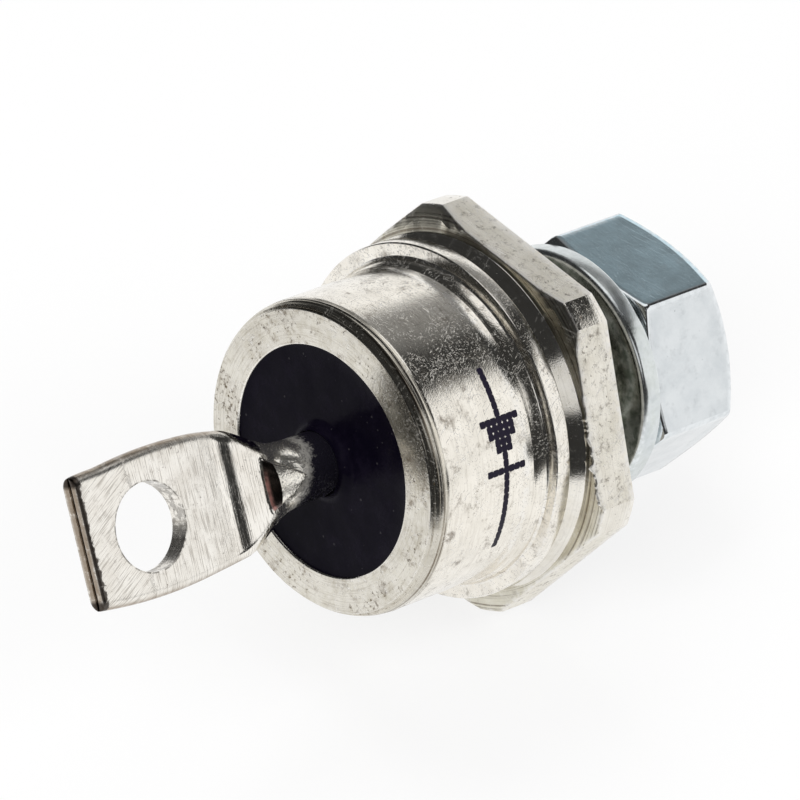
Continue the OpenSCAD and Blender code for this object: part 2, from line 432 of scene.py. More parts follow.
# hex base with its stud
baseSizes = {
    "acrossFlats": 17.2, "thick": 2.1, "cornerR": 9.55, "faceR": 9.0, "chamfer": math.radians(30),
    "chamferShift": 0.35, "chamferSide": math.radians(-110), "edgeR": 0.07, "edgeSteps": 4,
    "pedestalR": 4.7, "pedestalTop": 3.3, "pedestalCore": 0.4,
    "faceRings": (6.5, 7.6, 8.1, 8.3), "chamferFrom": 8.35, "sideRows": (0.25, 0.5, 0.9), "backRow": 0.6,
    "seatRings": (7.5, 6.0, 4.5, 3.6), "flatSteps": 72, "landSteps": 8,
    "studR": 3.175, "studLength": 11.1, "studTip": 0.6, "studCore": 1.2, "pitch": 0.907, "threadDepth": 0.52,
    "crest": 0.0625, "flank": 0.3125, "shank": 0.8, "runOut": 1.0, "rowsPerPitch": 10,
    "burrFlat": 5, "burrHeight": 0.22, "burrReach": 0.3, "smallBurr": 0.03,
    "rise": 0.06, "riseFrom": 7.0, "riseOver": 1.2}


def hexOutline(s):
    apothem = s["acrossFlats"] / 2
    reach = math.sqrt(s["cornerR"] ** 2 - apothem ** 2)
    opening = math.atan2(reach, apothem)
    outline = []
    for flat in range(6):
        middle = flat * math.pi / 3
        for i in range(s["flatSteps"]):
            along = -reach + 2 * reach * i / s["flatSteps"]
            across = math.atan2(along, apothem)
            outline.append((middle + across, math.hypot(along, apothem), flat, along / reach))
        for i in range(s["landSteps"]):
            turn = opening + (math.pi / 3 - 2 * opening) * i / s["landSteps"]
            outline.append((middle + turn, s["cornerR"], flat, 2.0))
    return outline


# ragged metal pushed up along the front edge, most of it on one flat
def burrAt(s, flat, along):
    if abs(along) > 1:
        return 0.0
    rough = noise.noise(Vector((along * 11 + flat * 7, 3.1, 0.5)))
    rough += 0.8 * noise.noise(Vector((along * 31, flat, 1.7)))
    if flat != s["burrFlat"]:
        return s["smallBurr"] * max(0.0, rough)
    ragged = min(1.0, max(0.0, 0.45 - along) * 1.2)
    return s["burrHeight"] * (0.25 + max(0.0, rough + 0.3) * ragged) * (1 - abs(along) ** 10)


def threadR(s, angle, z):
    phase = (z / s["pitch"] - angle / (2 * math.pi)) % 1.0
    rise = clampTo((abs(phase - 0.5) - s["crest"]) / s["flank"])
    depth = s["threadDepth"] * clampTo((-z - s["shank"]) / s["runOut"])
    return s["studR"] - depth * (1 - rise)


def buildBase():
    s = baseSizes
    outline = hexOutline(s)
    angles = [o[0] for o in outline]
    slope = math.tan(s["chamfer"])
    shift = ray(s["chamferSide"]) * s["chamferShift"]
    rings, edges = [], []

    def circle(r, z, mark=0.0):
        rings.append([polar(r, a, z) for a in angles])
        edges.append(mark)

    def chamferAt(spot):
        return s["thick"] - max(0.0, (spot - shift).length - s["faceR"]) * slope

    def rim(inset, drop, mark, fromBack=False):
        ring = []
        for a, r, flat, along in outline:
            spot = ray(a) * (r - inset)
            level = chamferAt(spot) - drop
            if drop < s["burrReach"]:
                level += burrAt(s, flat, along) * (1 - drop / s["burrReach"])
            ring.append(Vector((spot.x, spot.y, drop if fromBack else level)))
        rings.append(ring)
        edges.append(mark)

    e = s["edgeR"]
    quarter = [math.pi / 2 * k / s["edgeSteps"] for k in range(s["edgeSteps"] + 1)]
    circle(s["pedestalCore"], s["pedestalTop"])
    circle(s["pedestalR"], s["pedestalTop"], 0.5)
    circle(s["pedestalR"], s["thick"])
    for r in s["faceRings"]:
        circle(r, s["thick"])
    for inset in (0.5, 3 * e):
        spots = [ray(a) * max(s["chamferFrom"], r - inset) for a, r, _, _ in outline]
        rings.append([Vector((p.x, p.y, chamferAt(p))) for p in spots])
        edges.append(0.2)
    for turn in quarter:
        rim(e * (1 - math.sin(turn)), e * (1 - math.cos(turn)), 1.0)
    for drop in s["sideRows"]:
        rim(0.0, drop, 0.15 if drop < s["burrReach"] else 0.0)
    rim(0.0, s["backRow"], 0.0, True)
    for turn in quarter:
        rim(e * (1 - math.cos(turn)), e * (1 - math.sin(turn)), 1.0, True)
    rim(4 * e, 0.0, 0.0, True)
    for r in s["seatRings"]:
        circle(r, 0.0)
    rows = int(s["studLength"] / s["pitch"] * s["rowsPerPitch"])
    for k in range(rows + 1):
        z = -s["studLength"] * k / rows
        tip = s["studR"] - s["studTip"] + (z + s["studLength"])
        rings.append([polar(min(tip, threadR(s, a, z)), a, z) for a in angles])
        edges.append(0.0)
    circle(s["studCore"], -s["studLength"])
    points, faces = skin(rings, firstCap=True, lastCap=True)
    for p in points:
        p.x += s["rise"] * clampTo((math.hypot(p.x, p.y) - s["riseFrom"]) / s["riseOver"])
    faces = [tuple(reversed(f)) for f in faces]
    edge = [mark for mark in edges for _ in angles]

    # face, flats, thread, seat or the round land at a corner
    def pick(at, normal):
        if at.z < -0.02:
            return 2
        if normal.z < -0.75:
            return 3
        if normal.z > 0.75:
            return 0
        return 4 if math.hypot(at.x - s["rise"], at.y) > s["cornerR"] - 0.012 else 1

    hexFace = platedMetal("hexFaceNickel", dict(
        nickel, tint=(0.76, 0.73, 0.62, 1), shade=(0.64, 0.61, 0.51, 1), rough=0.3, lines=1.2,
        linesAlong="Radius", linesFine=11.0, linesLength=14.0, streak=0.75, pits=0.3, stain=0.4))
    hexFlat = platedMetal("hexFlatNickel", dict(
        nickel, tint=(0.95, 0.915, 0.83, 1), shade=(0.83, 0.79, 0.69, 1), rough=0.4, pits=0.7, pitScale=6.0,
        pitDepth=0.9, scratch=1.0, scratchScale=1.5, scratchDepth=1.6, grain=1.1, grainScale=7.0, stain=0.8,
        stainScale=2.4, rub=1.0))
    land = platedMetal("hexLandNickel", dict(
        nickel, rough=0.09, pits=0.8, pitScale=5.0, grain=0.35, grainScale=9.0))
    thread = platedMetal("threadNickel", dict(nickel, rough=0.26, pits=0.25, scratch=0.2))
    # the seat facing the washer is tinted dark as painted shade for the gap between hex and washer
    shadedSeat = platedMetal("seatShadeNickel", dict(
        nickel, tint=(0.42, 0.40, 0.35, 1), shade=(0.33, 0.31, 0.27, 1), rough=0.25, lines=0.4,
        linesAlong="Radius"))
    materials = [hexFace, hexFlat, thread, shadedSeat, land]
    return addPiece("hex_base", points, faces, materials, "base_stud", edge, pick, 20)


# tapered weld ring between the hex and the can
ringSizes = {
    "outerR": 8.42, "topR": 7.9, "innerR": 4.75, "low": 2.1, "high": 2.93, "rim": 0.12, "edge": 0.09,
    "spokes": 192}


def buildRing():
    s = ringSizes
    corners = [
        (s["innerR"], s["low"], 0.0), (s["outerR"], s["low"], 0.0),
        (s["outerR"], s["low"] + s["rim"], s["edge"]), (s["topR"], s["high"], 0.0),
        (s["innerR"], s["high"], 0.0)]
    smooth = platedMetal("ringNickel", dict(nickel, rough=0.1, grain=0.25, scratch=0.3, rub=1.0))
    return turnPiece("weld_band", corners, s["spokes"], [smooth], "weld_ring")


# can with its flange, cove and lip
canSizes = {
    "boreR": 5.41, "boreEdge": 0.09, "wallR": 7.38, "wallFoot": 4.9, "wallRound": 2.0, "wallStart": 0.6,
    "flangeR": 8.35, "flangeEdge": 0.08, "low": 2.93, "flangeTop": 3.77, "top": 10.55, "spokes": 288,
    "cove": (7.66, 3.79, 0.16), "grooves": [(7.475, 4.36), (7.455, 4.47)], "groove": 0.035,
    "lipFoot": 9.7, "lip": [(7.33, 9.95), (7.27, 10.15), (7.19, 10.32), (7.09, 10.45)], "lipTop": 7.05,
    "lipEdge": 0.05, "lipFrom": 6.9, "offCentre": 0.2, "offSide": math.radians(123), "dents": 0.0012,
    "markAngle": math.radians(-66), "markHeight": 6.15, "markPitch": 0.33, "markDot": (0.68, 0.8),
    "markTriangle": 6.5, "markBar": 3.5, "markLead": 13.5}


# diode symbol printed in dots along the can: triangle, bar and leads
def inkMark(tree, here, links):
    s = canSizes
    turned = minus(tree, here["Angle"], s["markAngle"])
    u = times(tree, turned, -s["wallR"] / s["markPitch"])
    v = maths(tree, "DIVIDE", minus(tree, here["Height"], s["markHeight"]), s["markPitch"])
    column = maths(tree, "ROUND", u)
    row = maths(tree, "ABSOLUTE", maths(tree, "ROUND", v))
    du = minus(tree, u, column)
    dv = minus(tree, v, maths(tree, "ROUND", v))
    ragged = plus(tree, lengthOf(tree, du, dv), times(tree, noiseAt(tree, here["Place"], 9.0, 2.0), 0.25))
    dot = fade(tree, ragged, *s["markDot"])
    back = times(tree, column, -1.0)
    inside = maths(tree, "LESS_THAN", times(tree, row, 2.0), plus(tree, back, 0.5))
    triangle = times(tree, inside, maths(tree, "LESS_THAN", back, s["markTriangle"]))
    atBar = maths(tree, "COMPARE", column, 1.0)
    bar = times(tree, atBar, maths(tree, "LESS_THAN", row, s["markBar"]))
    long = maths(tree, "LESS_THAN", maths(tree, "ABSOLUTE", column), s["markLead"])
    lead = times(tree, maths(tree, "LESS_THAN", row, 0.5), long)
    ink = times(tree, dot, larger(tree, triangle, bar, lead))
    return {
        "Base Color": mixColor(tree, ink, links["Base Color"], (0.012, 0.009, 0.022, 1)),
        "Metallic": minus(tree, links["Metallic"], ink, True), "Specular IOR Level": 0.12,
        "Roughness": plus(tree, links["Roughness"], times(tree, ink, 0.25), True)}


# thin turned lines painted pale as a painted highlight where the metal mirrors the dark
def turnedLineHighlights(tree, here, links):
    values = {"Along": here["Height"], "Across": here["Around"], "Fine": 8.0, "Length": 12.0}
    lines = useGroup(tree, toolLines, values)["Height"]
    bright = times(tree, span(tree, lines, 0.53, 0.6), 0.5)
    return {
        "Base Color": mixColor(tree, bright, links["Base Color"], (0.80, 0.74, 0.62, 1)),
        "Metallic": minus(tree, links["Metallic"], bright, True)}


def buildCan():
    s = canSizes
    cove = s["flangeR"] - s["wallR"]
    foot = s["wallFoot"]
    corners = [
        (s["boreR"], s["low"], 0.0), (s["flangeR"], s["low"], s["flangeEdge"]),
        (s["flangeR"], s["flangeTop"], s["flangeEdge"]), s["cove"], (*s["grooves"][0], 0.0)]
    for r, z in s["grooves"]:
        corners += [(r - s["groove"], z + 0.03, 0.0), (r - 0.005, z + 0.06, 0.0)]
    corners += [
        (s["wallR"], foot, s["wallRound"]), (s["wallR"], foot + s["wallStart"], 0.0),
        (s["wallR"], s["lipFoot"] - 0.06, 0.0), (s["wallR"] - 0.03, s["lipFoot"], 0.0)]
    for r, z in s["lip"]:
        corners += [(r + 0.02, z - 0.05, 0.0), (r - 0.02, z, 0.0), (r + 0.01, z + 0.04, 0.0)]
    corners += [(s["lipTop"], s["top"], s["lipEdge"]), (s["boreR"], s["top"], s["boreEdge"])]

    # wall, lip or mouth
    def pick(at, normal):
        if at.z > s["lipFoot"] and normal.z < 0.9 and math.hypot(at.x, at.y) > s["lipFrom"]:
            return 1
        return 2 if normal.z > 0.9 and at.z > s["lipFoot"] else 0

    def wobble(p):
        out = 1 + s["dents"] * noise.noise(p * 0.5)
        shift = clampTo((math.hypot(p.x, p.y) - s["wallR"]) / cove) * s["offCentre"] if p.z < foot else 0.0
        x = p.x * out + shift * math.cos(s["offSide"])
        y = p.y * out + shift * math.sin(s["offSide"])
        return Vector((x, y, p.z))

    wall = platedMetal("canNickel", dict(
        nickel, tint=(0.93, 0.89, 0.81, 1), shade=(0.81, 0.77, 0.69, 1), linesFine=10.0, linesLength=1.5,
        streak=0.12, stain=0.75, stainScale=1.1, pits=0.5, scratch=0.9, scratchScale=1.5, scratchDepth=0.6,
        grain=0.35), inkMark)
    lip = platedMetal("lipNickel", dict(
        nickel, tint=(0.68, 0.65, 0.58, 1), shade=(0.56, 0.53, 0.46, 1), rough=0.16, lines=1.4,
        linesFine=9.0, linesLength=9.0, streak=0.85), turnedLineHighlights)
    face = platedMetal("mouthNickel", dict(
        nickel, tint=(0.72, 0.69, 0.61, 1), shade=(0.59, 0.555, 0.475, 1), dirt=(0.18, 0.13, 0.075, 1),
        rough=0.2, pits=0.9, pitScale=5.0, linesAlong="Radius", linesLength=2.0, scratch=0.8, stain=0.9,
        stainScale=1.1, grain=0.45, grainScale=9.0, streak=0.25))
    materials = [wall, lip, face]
    return turnPiece("can_shell", corners, s["spokes"], materials, "can", pick, wobble)


# dark glass in the mouth of the can
sealSizes = {
    "outerR": 5.41, "neckR": 1.55, "low": 7.2, "high": 10.4, "meniscus": 0.5, "steps": 8,
    "rings": (4.6, 3.8, 3.0), "rimRise": 0.03, "rimWidth": 0.12, "ripple": 0.02, "spokes": 160}


def glassMaterial():
    material, tree, shader = newMaterial("darkGlass")
    place = useGroup(tree, diodePlace)["Place"]
    grains = maskOf(tree, dust, place, 2.6, 0.35)
    film = noiseAt(tree, place, 1.1, 4.0, 0.6)
    color = mixColor(tree, span(tree, film, 0.4, 0.8), (0.004, 0.003, 0.008, 1), (0.008, 0.006, 0.014, 1))
    color = mixColor(tree, grains, color, (0.10, 0.095, 0.10, 1))
    rough = span(tree, film, 0.3, 0.75, 0.16, 0.32)
    bump = bumpOf(tree, noiseAt(tree, place, 0.9, 3.0), 0.6, 0.05)
    plug(tree, shader, {
        "Base Color": color, "Roughness": rough, "Metallic": 0.0, "Specular IOR Level": 0.04, "Normal": bump})
    return material


def buildSeal():
    s = sealSizes
    corners = [
        (s["neckR"], s["low"], 0.0), (s["outerR"], s["low"], 0.0),
        (s["outerR"], s["high"] + s["rimRise"], 0.0), (s["outerR"] - s["rimWidth"], s["high"], 0.0)]
    corners += [(r, s["high"], 0.0) for r in s["rings"]]
    for k in range(s["steps"] + 1):
        turn = math.radians(270 - 90 * k / s["steps"])
        r = s["neckR"] + s["meniscus"] * (1 + math.cos(turn))
        corners.append((r, s["high"] + s["meniscus"] * (1 + math.sin(turn)), 0.0))

    def wobble(p):
        if p.z < s["high"] - 0.01:
            return p
        return p + Vector((0, 0, s["ripple"] * noise.noise(p * 0.9)))

    glass = [glassMaterial()]
    return turnPiece("seal_glass", corners, s["spokes"], glass, "glass_seal", None, wobble)


# tube pinched flat into the lug
lugSizes = {
    "neckR": 1.5, "tail": 6.6, "flareZ": 12.15, "flareR": 1.75, "domeZ": 13.1, "dome": 0.3, "dip": 0.33,
    "pinchZ": 14.5, "pinchL": 0.56, "pinchPower": 0.8, "flatten": (12.5, 14.1), "spreadZ": 13.1,
    "spreadL": 2.95, "ridge": 0.26, "ridgeZ": 15.8, "ridgeHigh": 16.75, "ridgeIn": (13.0, 14.4), "rise": 0.16,
    "end": 24.75, "endDrop": 0.1, "swell": 0.05, "swellOver": (24.3, 24.65), "seam": 0.16, "halfW": 3.3,
    "endHalfW": 2.95, "bulgeZ": 20.45, "bulgeW": 1.9, "bulgeEdge": 0.3, "halfT": 0.475,
    "sideShift": 0.1, "shiftOver": (15.0, 18.0), "cornerShift": 0.15, "cornerOver": (23.0, 24.7),
    "holeR": 2.0, "holeZ": 21.2, "holeSpokes": 128, "holeEdge": 0.05, "filmAndShadeTop": 12.65,
    "sideSteps": 8, "flatSteps": 36, "tubeRows": [9.0, 11.0], "coneRows": 18, "pinchRows": 14, "flatRows": 44}
# its marks, by place along the axis and by distance from its middle; the hollow of the pinch gets a painted
# shade colour
lugMarks = {
    "hollowShadeDeep": (0.98, 1.06), "pinchEnd": (15.1, 15.3), "redFrom": (0.98, 1.02), "redTo": (1.1, 1.3),
    "redSide": (0.3, 0.9), "rimOut": 0.03, "rimWide": (0.02, 0.05), "sideDeep": (0.25, 0.45),
    "sideFrom": (2.3, 2.5), "ending": (24.4, 24.5), "beadMiddle": 0.15, "beadFrom": (2.45, 2.7),
    "seamDeep": (0.05, 0.09), "stripFrom": (24.5, 24.6), "stripDeep": (0.36, 0.42),
    "brownFrom": (24.62, 24.7), "bandEnd": (16.7, 16.9), "tarnish": (0.26, 0.19, 0.125, 1),
    "brown": (0.30, 0.24, 0.18, 1), "hollowShade": (0.05, 0.036, 0.032, 1), "red": (0.44, 0.21, 0.18, 1),
    "dark": (0.035, 0.026, 0.02, 1)}


# half width, thickness of the flat wings and height of the round middle
def lugHalves(z):
    s = lugSizes
    tube = blendTo(s["neckR"], s["flareR"], clampTo((z - s["flareZ"]) / (s["pinchZ"] - s["flareZ"])))
    barrel = blendTo(s["halfW"], s["endHalfW"], ((z - s["bulgeZ"]) / (s["end"] - s["bulgeZ"])) ** 2)
    wide = blendTo(tube, barrel, easeIn(z, s["spreadZ"], s["spreadZ"] + s["spreadL"]))
    wing = blendTo(tube, s["halfT"], easeIn(z, *s["flatten"]))
    step = s["ridge"] * (1 - easeIn(z, s["ridgeZ"], s["ridgeHigh"])) + s["rise"] * max(0.0, s["ridgeZ"] - z)
    wing += step * easeIn(z, *s["ridgeIn"]) + s["swell"] * easeIn(z, *s["swellOver"])
    dip = s["dip"] * clampTo((z - s["domeZ"]) / (s["pinchZ"] - s["domeZ"]))
    dome = tube + s["dome"] * easeIn(z, s["flareZ"], s["domeZ"]) - dip
    middle = dome * (1 - clampTo((z - s["pinchZ"]) / s["pinchL"])) ** s["pinchPower"]
    return max(wide, wing + 0.01), wing, middle


def upperHalf(wide, wing, middle):
    s = lugSizes
    flat = wide - wing
    half = []
    for i in range(s["sideSteps"]):
        turn = math.pi / 2 * i / s["sideSteps"]
        half.append((flat + wing * math.cos(turn), wing * math.sin(turn)))
    for i in range(s["flatSteps"] + 1):
        x = flat - 2 * flat * i / s["flatSteps"]
        crown = middle * math.sqrt(max(0.0, 1 - (x / s["bulgeW"]) ** 2))
        over = max(0.0, crown - wing) * easeIn(flat - abs(x), 0.0, s["bulgeEdge"])
        half.append((x, wing + over))
    for i in range(1, s["sideSteps"] + 1):
        turn = math.pi / 2 * (1 + i / s["sideSteps"])
        half.append((-flat + wing * math.cos(turn), wing * math.sin(turn)))
    return half


def lugMaterial():
    s = lugSizes
    m = lugMarks
    look = dict(
        nickel, tint=(0.93, 0.90, 0.84, 1), shade=(0.84, 0.80, 0.73, 1), rough=0.22, pitScale=6.0, lines=0.5,
        linesAlong="Brushed", linesAcross="BrushedAcross", linesFine=17.0, linesLength=1.3, streak=0.4,
        scratch=0.3, grain=0.3, stainScale=1.7)

    # painted shade in the hollow of the pinch, with a red edge, tarnish on the sides, the hole's rim and the
    # end
    def finish(tree, here, links):
        height, width, through = here["Height"], here["Width"], here["Through"]
        cloud = noiseAt(tree, here["Place"], 3.0, 4.0, 0.65)
        level = plus(tree, height, times(tree, minus(tree, cloud, 0.5), 0.8))
        depth = maths(tree, "ABSOLUTE", through)
        before = fade(tree, height, *m["pinchEnd"])
        pinchShade = allOf(tree, span(tree, depth, *m["hollowShadeDeep"]), before)
        red = allOf(
            tree, span(tree, depth, *m["redFrom"]), fade(tree, depth, *m["redTo"]), before,
            fade(tree, width, *m["redSide"], 0.9), span(tree, cloud, 0.35, 0.6, 0.5, 1.0))
        away = lengthOf(tree, minus(tree, height, s["holeZ"]), width)
        fromRim = maths(tree, "ABSOLUTE", minus(tree, away, s["holeR"] + m["rimOut"]))
        rim = fade(tree, fromRim, *m["rimWide"], 0.7)
        side = allOf(
            tree, fade(tree, depth, *m["sideDeep"]), span(tree, away, *m["sideFrom"]),
            span(tree, cloud, 0.3, 0.6, 0.45, 0.8))
        ending = span(tree, height, *m["ending"])
        corner = maths(tree, "ABSOLUTE", minus(tree, width, m["beadMiddle"]))
        bead = allOf(tree, ending, span(tree, corner, *m["beadFrom"]))
        seam = allOf(tree, ending, fade(tree, depth, *m["seamDeep"]))
        strip = allOf(tree, span(tree, level, *m["stripFrom"]), span(tree, through, *m["stripDeep"]))
        dark = larger(tree, bead, seam, strip, allOf(tree, rim, span(tree, cloud, 0.42, 0.55)))
        brown = times(tree, span(tree, level, *m["brownFrom"]), 0.6)
        color = coats(
            tree, links["Base Color"], (side, m["tarnish"]), (brown, m["brown"]),
            (times(tree, pinchShade, 0.94), m["hollowShade"]), (red, m["red"]), (times(tree, dark, 0.92), m["dark"]))
        band = times(tree, fade(tree, level, *m["bandEnd"]), 0.12)
        rough = minus(tree, plus(tree, links["Roughness"], times(tree, dark, 0.1)), band, True)
        metal = minus(tree, links["Metallic"], times(tree, red, 0.65), True)
        return {"Base Color": color, "Roughness": rough, "Metallic": metal}

    return platedMetal("lugNickel", look, finish)


def coneMaterial():
    s = lugSizes
    look = dict(
        nickel, tint=(0.97, 0.94, 0.87, 1), shade=(0.85, 0.81, 0.73, 1), rough=0.18, pits=0.9, pitScale=9.0,
        pitDepth=1.2, lines=0.0, streak=0.0, grain=2.0, grainScale=7.0, stain=0.4, stainScale=4.0,
        scratch=0.3)

    # glass film that climbs the neck and thins out in specks; it is drawn further up and slanted across the
    # width as painted shade
    def film(tree, here, links):
        cloud = noiseAt(tree, here["Place"], 3.0, 3.0, 0.6)
        speck = noiseAt(tree, here["Place"], 11.0, 2.0, 0.6)
        level = plus(tree, here["Height"], times(tree, here["Width"], 0.45))
        level = plus(tree, level, times(tree, minus(tree, cloud, 0.5), 0.8))
        level = plus(tree, level, times(tree, minus(tree, speck, 0.5), 0.9))
        glassFilmAndShade = fade(tree, level, s["filmAndShadeTop"] - 0.45, s["filmAndShadeTop"] + 0.55)
        return {
            "Base Color": mixColor(tree, glassFilmAndShade, links["Base Color"], (0.010, 0.009, 0.014, 1)),
            "Metallic": minus(tree, 0.95, glassFilmAndShade, True)}

    return platedMetal("coneNickel", look, film)


def cutHole(piece):
    s = lugSizes
    bpy.ops.mesh.primitive_cylinder_add(vertices=s["holeSpokes"], radius=s["holeR"] * mm, depth=4 * mm)
    cutter = bpy.context.active_object
    across = Matrix.Translation((0, 0, s["holeZ"] * mm)) @ Matrix.Rotation(math.pi / 2, 4, "X")
    cutter.matrix_world = diodeFrame @ Matrix.Rotation(lugTurn, 4, "Z") @ across
    hole = piece.modifiers.new("hole", "BOOLEAN")
    hole.object = cutter
    hole.operation = "DIFFERENCE"
    hole.solver = "EXACT"
    bpy.context.view_layer.update()
    shaped = bpy.data.meshes.new_from_object(piece.evaluated_get(bpy.context.evaluated_depsgraph_get()))
    piece.modifiers.clear()
    piece.data = shaped
    bpy.data.objects.remove(cutter)


def buildLug():
    s = lugSizes
    foot = s["pinchZ"] + s["pinchL"]
    last = s["end"] - s["endDrop"]
    heights = [s["tail"]] + s["tubeRows"]
    heights += [blendTo(s["flareZ"], s["pinchZ"], k / s["coneRows"]) for k in range(s["coneRows"])]
    heights.append(s["pinchZ"] - 0.03)
    heights += [blendTo(s["pinchZ"], foot, k / s["pinchRows"]) for k in range(s["pinchRows"])]
    heights += [blendTo(foot, last, k / s["flatRows"]) for k in range(s["flatRows"] + 1)]
    turnMatrix = Matrix.Rotation(lugTurn, 3, "Z")
    rings = []
    for z in heights:
        half = upperHalf(*lugHalves(z))
        loop = half + [(x, -y) for x, y in reversed(half[1:-1])]
        rings.append([Vector((x, y, z)) for x, y in loop])
    points, faces = skin(rings, firstCap=True)
    edge = [0.0] * len(points)
    # end of the lug: rounded layer edges with a seam between them
    base = len(points) - len(rings[-1])
    half = upperHalf(*lugHalves(s["end"]))
    count = len(half)
    front = [(0.93, 0.06), (0.55, 0.1), (0.18, 0.08), (0.05, 0.03 - s["seam"])]
    layers = front + [(-share, lift) for share, lift in reversed(front)]
    rows = [[base + i for i in range(count)]]
    for share, lift in layers:
        row = [base]
        for x, y in half[1:-1]:
            row.append(len(points))
            points.append(Vector((x, y * share, last + lift)))
            edge.append(0.7)
        row.append(base + count - 1)
        rows.append(row)
    rows.append([base] + [base + 2 * count - 2 - i for i in range(1, count - 1)] + [base + count - 1])
    for upper, lower in zip(rows, rows[1:]):
        for i in range(count - 1):
            corner = [upper[i], upper[i + 1], lower[i + 1], lower[i]]
            corner = [c for k, c in enumerate(corner) if c not in corner[:k]]
            if len(corner) > 2:
                faces.append(tuple(corner))
    for p in points:
        corner = s["cornerShift"] * easeIn(p.z, *s["cornerOver"]) * clampTo(p.x / s["halfW"])
        p.x += s["sideShift"] * easeIn(p.z, *s["shiftOver"]) + corner
    points = [turnMatrix @ p for p in points]

    def pick(at, normal):
        return 1 if at.z < s["pinchZ"] - 0.01 else 0

    materials = [lugMaterial(), coneMaterial()]
    piece = addPiece("lug_tube", points, faces, materials, "terminal", edge, pick)
    cutHole(piece)
    bevel = piece.modifiers.new("holeEdge", "BEVEL")
    bevel.width = s["holeEdge"] * mm
    bevel.segments = 2
    bevel.limit_method = "ANGLE"
    bevel.angle_limit = math.radians(60)
    normals = piece.modifiers.new("faceNormals", "WEIGHTED_NORMAL")
    normals.keep_sharp = True
    return piece


# washer against the nut
washerSizes = {
    "outerR": 6.0, "innerR": 3.325, "front": -3.95, "back": -5.05, "frontEdge": 0.3, "backEdge": 0.12,
    "boreEdge": 0.08, "spokes": 192}


def buildWasher():
    s = washerSizes
    corners = [
        (s["innerR"], s["front"], s["boreEdge"]), (s["innerR"], s["back"], s["boreEdge"]),
        (s["outerR"], s["back"], s["backEdge"]), (s["outerR"], s["front"], s["frontEdge"])]
    rim = platedMetal("washerZinc", dict(
        zincPlate, tint=(0.66, 0.70, 0.68, 1), rough=0.22, lines=0.3, linesAlong="Around",
        linesAcross="Height", pits=0.3))
    # the front face towards the hex is tinted near black as painted shade for the gap between hex and washer
    front = platedMetal("washerFaceShadeZinc", dict(
        zincPlate, tint=(0.16, 0.19, 0.165, 1), shade=(0.12, 0.145, 0.125, 1), rough=0.16, pits=0.3))

    def pick(at, normal):
        return 1 if normal.z > 0.9 else 0

    return turnPiece("flat_washer", corners, s["spokes"], [rim, front], "washer", pick)


# hex nut, chamfered at both ends
nutSizes = {
    "acrossFlats": 10.7, "front": -5.05, "back": -10.2, "faceR": 5.15, "faceRing": 0.3,
    "chamfer": math.radians(30), "frontChamfer": math.radians(18), "boreR": 3.225, "sink": 0.4,
    "cornerR": 0.35, "edgeR": 0.08, "sideRows": (0.3, 1.0), "flatSteps": 24, "cornerSteps": 8,
    "play": (0.17, -0.04, 0.0)}


def nutOutline(s):
    apothem = s["acrossFlats"] / 2
    inner = apothem - s["cornerR"]
    reach = inner * math.tan(math.pi / 6)
    outline = []
    for flat in range(6):
        middle = flat * math.pi / 3
        out = ray(middle)
        along = Vector((-out.y, out.x))
        for i in range(s["flatSteps"]):
            outline.append((out * apothem + along * (reach * (2 * i / s["flatSteps"] - 1)), 0.0))
        corner = out * inner + along * reach
        for i in range(s["cornerSteps"]):
            turn = middle + math.pi / 3 * i / s["cornerSteps"]
            outline.append((corner + s["cornerR"] * ray(turn), 1.0))
    return outline


def buildNut():
    s = nutSizes
    outline = nutOutline(s)
    e = s["edgeR"]

    def circle(r, z, mark=0.0):
        return [(Vector((p.normalized().x * r, p.normalized().y * r, z)), mark) for p, _ in outline]

    # rows from the bore over the face and the chamfer to the middle of the flats
    def endRows(z, sign, slope):
        def rim(inset, drop, mark=0.0):
            row = []
            for p, corner in outline:
                r = p.length
                level = z + sign * (max(0.0, r - s["faceR"]) * slope + drop)
                q = p * (1 - inset / r)
                row.append((Vector((q.x, q.y, level)), max(mark, 0.8 * corner)))
            return row

        rows = [circle(s["boreR"], z + sign * s["sink"]), circle(s["boreR"] + s["sink"], z, 0.6)]
        rows += [circle(s["faceR"] - s["faceRing"], z), circle(s["faceR"], z, 0.5)]
        rows += [rim(2 * e, -2 * e * slope, 0.6), rim(0.6 * e, -0.1 * e, 1.0), rim(0.0, e, 1.0)]
        return rows + [rim(0.0, drop) for drop in s["sideRows"]]

    rows = endRows(s["front"], -1, math.tan(s["frontChamfer"]))
    rows += reversed(endRows(s["back"], 1, math.tan(s["chamfer"])))
    points, faces = skin([[p for p, _ in row] for row in rows], loop=True)
    edge = [mark for row in rows for _, mark in row]
    points = [p + Vector(s["play"]) for p in points]
    faces = [tuple(reversed(f)) for f in faces]
    look = dict(zincPlate, rough=0.1, grain=0.1, grainScale=5.0, scratch=0.1, stain=0.2)
    plate = platedMetal("nutZinc", dict(look, tint=(0.74, 0.77, 0.785, 1), shade=(0.645, 0.68, 0.70, 1)))
    shadedUpperFlat = platedMetal("nutUpperFlatShadeZinc", dict(
        look, tint=(0.56, 0.725, 0.80, 1), shade=(0.48, 0.64, 0.715, 1), stain=0.4))

    # the upper flat gets a darker, bluer copy of the plating as painted shade
    def pick(at, normal):
        return 1 if normal.x > 0.95 else 0

    return addPiece("hex_nut", points, faces, [plate, shadedUpperFlat], "nut", edge, pick)


buildBase()
buildRing()
buildCan()
buildSeal()
buildLug()
buildWasher()
buildNut()


# finishes of the pieces inside the can
solder = dict(nickel, tint=(0.62, 0.63, 0.64, 1), rough=0.4)
molybdenum = dict(nickel, tint=(0.45, 0.46, 0.48, 1), rough=0.35)
innerLooks = {
    "base_solder": solder, "lower_disc": molybdenum,
    "silicon_chip": dict(nickel, tint=(0.16, 0.17, 0.20, 1), rough=0.15),
    "upper_disc": molybdenum, "lead_solder": solder,
    "inner_lead": dict(nickel, tint=(0.76, 0.44, 0.28, 1), shade=(0.66, 0.36, 0.22, 1), rough=0.3)}


